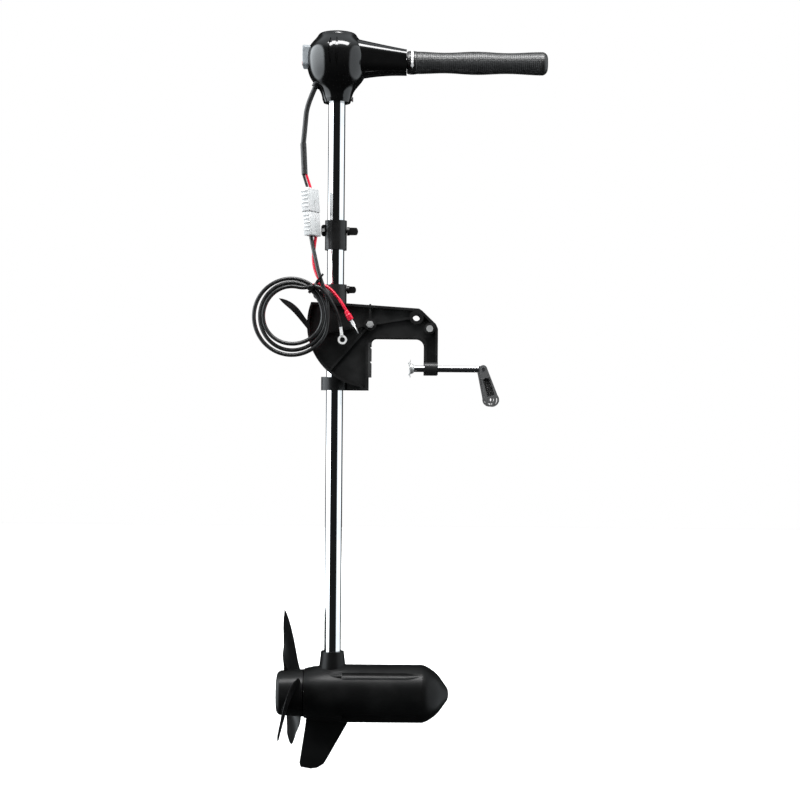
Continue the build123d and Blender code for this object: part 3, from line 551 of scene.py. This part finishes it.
def connector_half(name, start, width, depth, pocket_end, node):
    """One shell: a rounded block, a wire pocket at its open end, side ribs and a ridge down each face."""
    shape = bmesh.new()
    centre = start + along * half_length / 2
    block(shape, centre, wide, along, (width, depth, half_length), 0.0016, 3)
    end = along * pocket_end
    cap = [f for f in shape.faces if f.normal.dot(end) > 0.99]
    bmesh.ops.inset_region(shape, faces=cap, thickness=pocket_wall)
    floor_verts = list({v for f in cap for v in f.verts})
    bmesh.ops.translate(shape, verts=floor_verts, vec=-end * pocket_depth)
    for side in (-1, 1):
        for rib in range(5):
            spot = start + along * (first_rib + rib_step * rib) + wide * side * width / 2
            block(shape, spot, wide, along, (0.0016, depth * 0.74, 0.0022), 0.0004, 2)
        ridge = centre + narrow * side * depth / 2
        ridge_size = (0.0016, 0.0012, half_length * 0.8)
        block(shape, ridge + wide * 0.0005, wide, along, ridge_size, 0.0004, 2)
    return piece_from(name, shape, connector_plastic, "shaft", 35, [node])


halfway = (connector_top + connector_low) / 2
upper_connector = connector_half(
    "connector_shell_upper", connector_top, 0.0365, 0.0159, -1, "connector_upper"
)
lower_connector = connector_half(
    "connector_shell_lower", halfway, 0.0345, 0.0144, 1, "connector_lower"
)

# %% Cable tie
tie_angle = radians(52)
bundle_depth, bundle_radius = -48.0, 0.0580
band_width, band_thickness = 0.0038, 0.0011
outward = Vector((cos(tie_angle), 0, sin(tie_angle)))
tangent = Vector((-sin(tie_angle), 0, cos(tie_angle)))
bundle = Vector((coil_centre[0], bundle_depth, coil_centre[1])) * mm + outward * bundle_radius
hoop = axes_at(bundle, outward, tangent, (0.0112, 0.0118, 1))
band = bmesh.new()
bmesh.ops.create_circle(band, segments=40, radius=1, matrix=hoop)
grown = bmesh.ops.extrude_edge_only(band, edges=band.edges[:])["geom"]
far_rim = [v for v in grown if isinstance(v, bmesh.types.BMVert)]
bmesh.ops.translate(band, verts=far_rim, vec=tangent * band_width)
bmesh.ops.solidify(band, geom=band.faces[:], thickness=band_thickness)
lock = bundle + outward * 0.0125 - Y * 0.004 + tangent * band_width / 2
block(band, lock, outward, tangent, (0.0050, 0.0060, 0.0052), 0.0008)
block(band, lock + outward * 0.0075 + Z * 0.0012, outward, tangent, (0.0130, 0.0012, 0.0034), 0.0003)
tie = piece_from("cable_tie", band, satin_black, "shaft", 35)

# %% Crimp sleeve
sleeve_end, sleeve_start = Vector((-32.6, -46, 28.5)) * mm, Vector((-41.0, -47.2, 43.0)) * mm
sleeve_way = (sleeve_end - sleeve_start).normalized()
sleeve_length = (sleeve_end - sleeve_start).length
sleeve_profile = [(0.0, 0.0027), (0.0, 0.0032), (0.0010, 0.0037), (0.0060, 0.0040), (0.0070, 0.0047)]
ribs_at = [0.0078 + 0.0026 * rib for rib in range(3)]
for rib in ribs_at:
    sleeve_profile += [(rib, 0.0050), (rib + 0.0014, 0.0047)]
sleeve_profile += [(sleeve_length - 0.0004, 0.0049), (sleeve_length, 0.0045), (sleeve_length, 0.0027)]
sleeve = spun(sleeve_profile, sleeve_start, sleeve_way, 32)
crimp_sleeve = piece_from("red_crimp_sleeve", sleeve, red_vinyl, "shaft", 30)

# %% [markdown]
# ## What the cords are
#
# The start of each wire's route is worked out in metres, and the lengths just measured along the curves are
# printed.

[c * mm for c in black_route[0]]
[c * mm for c in red_route[0]]
print("cords declared, metres:", lead_length, black_length, red_length)

# %% [markdown]
# ## The grip
#
# The tiller's grip is soft black rubber with fine rings round it and two waists that fit the hand. A profile
# with every ring in it, spun about the tiller, gives real ridges that catch the light; a bump map alone would
# leave the outline smooth. The bump is kept for the finer ribs that run lengthwise.

# %% Grip
grip_low, grip_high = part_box("grip_sleeve")
grip_axis = (grip_low.z + grip_high.z) / 2
# Places along the tiller and the grip's radius there.
swell = [(0.072, 0.0183), (0.117, 0.0168), (0.170, 0.0189), (0.221, 0.0170), (0.279, 0.0190)]


def grip_radius(x):
    """Ease between the grip's wide and narrow places."""
    for (x0, r0), (x1, r1) in zip(swell, swell[1:]):
        if x <= x1:
            share = (1 - cos(pi * max(0, (x - x0) / (x1 - x0)))) / 2
            return r0 + (r1 - r0) * share
    return swell[-1][1]


ring_pitch, ring_depth = 0.0032, 0.0004
first_ring, last_ring = 0.0715, 0.2755
bore = 0.01005
cap_start, cap_length, cap_core, cap_edge = 0.2775, 0.0095, 0.0092, 0.0098
outline = [(0.0549, bore), (0.0549, 0.0172), (0.0553, 0.0178), (0.0565, 0.0180), (0.0565, 0.0182)]
outline += [(0.0570, 0.0187), (0.0596, 0.0190), (0.0600, 0.0186), (0.0600, 0.0176)]
outline += [(0.0670, 0.0176), (0.0670, 0.0184), (0.0675, 0.0188), (0.0700, 0.0188)]
x = first_ring
while x < last_ring:
    for share, drop in ((0.0, ring_depth), (0.15, 0.0), (0.75, 0.0), (0.9, ring_depth)):
        spot = x + share * ring_pitch
        outline.append((spot, grip_radius(spot) - drop))
    x += ring_pitch
for turn in range(10):
    angle = radians(10 * turn)
    outline.append((cap_start + cap_length * sin(angle), cap_core + cap_edge * cos(angle)))
outline += [(0.2870, 0.005), (0.2870, 0.0), (0.267, 0.0), (0.267, bore)]
grip_shape = spun(outline, Vector((0, 0, grip_axis)), X, steps=96)
print("grip rings", round((last_ring - first_ring) / ring_pitch))

# %% Grip rubber
rubber = Finish("grip_rubber")
ribs_around = 36
sideways, upwards = rubber.axis("Y"), rubber.axis("Z") - grip_axis
around = rubber.node("ShaderNodeMath", {"operation": "ARCTAN2"}, {0: sideways, 1: upwards})
ribs = rubber.node("ShaderNodeMath", {"operation": "SINE"}, {0: around * ribs_around})
dust = rubber.noise(0.02, 4)
rubber.set(
    Base_Color=rubber.blend(dust.over(0.4, 0.7), shade(0.005), shade(0.010)),
    Roughness=0.42 + 0.12 * (dust - 0.5),
    Normal=rubber.bump(ribs.over(-0.2, 0.5), 0.00008),
    Specular_IOR_Level=0.8,
)
piece_from("rubber_grip", grip_shape, rubber.material, "grip", 30, ["grip_sleeve"])

# %% [markdown]
# ## Speed marks
#
# The ring at the root of the grip carries a white arrow and a row of dashes, which tell the speed as the grip
# turns. Painted marks have no thickness, so they are a mask made from the angle round the ring. The arrow is
# where that angle, counted from its tip, outgrows the distance from the ring's middle line.

# %% Speed ring
marks = Finish("speed_marks")
ring_middle, dash_half, paint_edge = 0.0635, 0.0017, 0.0002
dash_pitch, first_dash, last_dash = 14, -20, 104
arrow_tip, arrow_foot, arrow_spread = -38, -21, 0.00018
upwards, nearer = marks.axis("Z") - grip_axis, 0 - marks.axis("Y")
turned = marks.node("ShaderNodeMath", {"operation": "ARCTAN2"}, {0: upwards, 1: nearer}) * (180 / pi)
off_middle = marks.node("ShaderNodeMath", {"operation": "ABSOLUTE"}, {0: marks.axis("X") - ring_middle})
dashes = marks.node("ShaderNodeMath", {"operation": "FRACT"}, {0: turned / dash_pitch}).over(0.14, 0.20)
dashes = dashes * turned.over(first_dash, first_dash + 1) * (1 - turned.over(last_dash, last_dash + 1))
dashes = dashes * (1 - off_middle.over(dash_half, dash_half + paint_edge))
arrow = ((turned - arrow_tip) * arrow_spread - off_middle).over(0, paint_edge)
arrow = arrow * turned.over(arrow_tip, arrow_tip + 0.5) * (1 - turned.over(arrow_foot, arrow_foot + 0.5))
painted = dashes + arrow
wear = marks.noise(0.002, 3)
marks.set(
    Base_Color=marks.blend(painted * (0.85 + 0.3 * wear), shade(0.010), shade(0.80)),
    Roughness=0.40 + 0.15 * (wear - 0.5),
    Normal=marks.bump(wear, 0.00004),
)
give("speed_ring", marks.material)
print("speed ring marked")

# %% [markdown]
# ## Clamp feet
#
# The pad that bites the boat's transom is stamped from sheet: a dished washer whose rim is cut into claws,
# bent by turns forwards and back. A ring of edges extruded outwards, moved claw by claw and thickened at the
# end gives even sheet everywhere.

# %% Clamp feet
claws, ring_steps = 8, 64
foot_place, foot_side = 0.0640, 0.038
sheet_rings = [(0.0078, -0.0002), (0.0098, -0.0010), (0.0122, 0.0), (0.0150, 0.0)]
claw_root = 0.0102


def claw_foot(side, node):
    """A stamped star washer and the socket that holds it on the screw's ball."""
    centre = Vector((foot_place, side * foot_side, clamp_height))
    shape = bmesh.new()
    bmesh.ops.create_circle(shape, segments=ring_steps, radius=0.0048, matrix=axes_at(centre, Z, X))
    edges = shape.edges[:]
    for ring, (radius, forward) in enumerate(sheet_rings):
        made = bmesh.ops.extrude_edge_only(shape, edges=edges)["geom"]
        edges = [g for g in made if isinstance(g, bmesh.types.BMEdge)]
        for vert in (g for g in made if isinstance(g, bmesh.types.BMVert)):
            away = (vert.co - centre) - X * (vert.co - centre).x
            turn = atan2(away.y, away.z) * claws / (2 * pi)
            peak = 1 - abs(2 * (turn - round(turn)))
            reach, step = radius, forward
            if ring > 1:
                reach = claw_root + (radius - claw_root) * max(0.0, 1.7 * peak - 0.7)
                bend = -0.0026 if round(turn) % 2 else 0.0012
                step = -0.0006 + bend * (reach - 0.0098) / 0.0052
            vert.co = centre + away.normalized() * reach + X * step
    bmesh.ops.solidify(shape, geom=shape.faces[:], thickness=0.0009)
    rim = [(0.0, 0.0048), (0.0, 0.0074), (0.0012, 0.0080), (0.0040, 0.0072)]
    rim += [(0.0064, 0.0060), (0.0066, 0.0048)]
    socket = spun(rim, centre, X, 40)
    spare = bpy.data.meshes.new("spare")
    socket.to_mesh(spare)
    socket.free()
    shape.from_mesh(spare)
    bpy.data.meshes.remove(spare)
    return piece_from(node + "_claws", shape, zinc, node.replace("clamp_foot", "foot"), 35, [node])


for side, node in ((-1, "clamp_foot_near"), (1, "clamp_foot_far")):
    claw_foot(side, node)

# %% [markdown]
# ## Floor and light
#
# A pale floor and a plain studio. Polished tube only looks like metal when it has something dark and
# something bright to reflect. So the mirrored room has a slightly cool wall at each side, the left one
# brightest, and a bright ceiling, and is dark in front and behind, which keeps the tube's edges dark against
# the pale background. The camera itself sees plain white. The floor is left out of reflections, because a
# white floor mirrored in black paint would hide the shape of the undersides.

# %% Floor
floor_height = -0.95
floor_mesh = bpy.data.meshes.new("floor")
floor_shape = bmesh.new()
bmesh.ops.create_grid(floor_shape, x_segments=1, y_segments=1, size=4)
bmesh.ops.translate(floor_shape, verts=floor_shape.verts, vec=(0, 4.3, floor_height))
floor_shape.to_mesh(floor_mesh)
floor_shape.free()
floor = bpy.data.objects.new("floor", floor_mesh)
bpy.context.scene.collection.objects.link(floor)
pale = Finish("pale_floor")
pale.set(Base_Color=pale.blend(pale.noise(1.5, 2).over(0.3, 0.7), shade(0.93), shade(0.95)), Roughness=0.9)
floor_mesh.materials.append(pale.material)
floor.visible_glossy = False
print("floor at", floor_height)

# %% Room
world = bpy.data.worlds.new("studio")
bpy.context.scene.world = world
room = Finish(owner=world)
direction = room.node("ShaderNodeTexCoord", output="Generated")
across, behind, above = (room.node("ShaderNodeSeparateXYZ", None, {0: direction}, letter) for letter in "XYZ")
sides = room.node("ShaderNodeMath", {"operation": "ABSOLUTE"}, {0: across})
backdrop = room.node("ShaderNodeLightPath", output="Is Camera Ray")
wall_glow, left_glow, ceiling_glow, dim_glow = 1.35, 3.8, 0.7, 0.012
leftwards = (0 - across).over(-0.1, 0.1) * (0.3 + 0.7 * above.over(-0.5, 0.4))
walls = sides.over(0.70, 0.80) * (wall_glow + left_glow * leftwards)
glow = dim_glow + (walls + ceiling_glow * above.over(0.50, 0.85)) * (1 - behind.over(0.40, 0.60))
room_colour = room.blend(backdrop, (0.90, 0.96, 1.0, 1), (1, 1, 1, 1))
room.set(Strength=backdrop + (1 - backdrop) * glow, Color=room_colour)
print("room lit")


# %% Softboxes
def softbox(name, place, target, width, height, power, mirrored=False):
    """A rectangular area light that points at a place."""
    data = bpy.data.lights.new(name, "AREA")
    data.shape = "RECTANGLE"
    data.size, data.size_y, data.energy = width, height, power
    lamp = bpy.data.objects.new(name, data)
    bpy.context.scene.collection.objects.link(lamp)
    lamp.location = place
    lamp.rotation_euler = (Vector(target) - Vector(place)).to_track_quat("-Z", "Y").to_euler()
    lamp.visible_glossy = mirrored
    print("softbox", name, "watts", power)


softbox("key_top", (0.1, -0.82, 2.2), (0, 0, 0.3), 2.2, 0.75, 105, mirrored=True)
softbox("left", (-2.4, -1.6, 0.9), (0, 0, 0), 0.9, 1.6, 32)
softbox("right", (2.4, -1.4, 0.6), (0, 0, -0.1), 0.9, 1.6, 24)
softbox("floor_wash", (0, 4.0, 2.6), (0, 6.0, floor_height), 7.0, 4.0, 620)
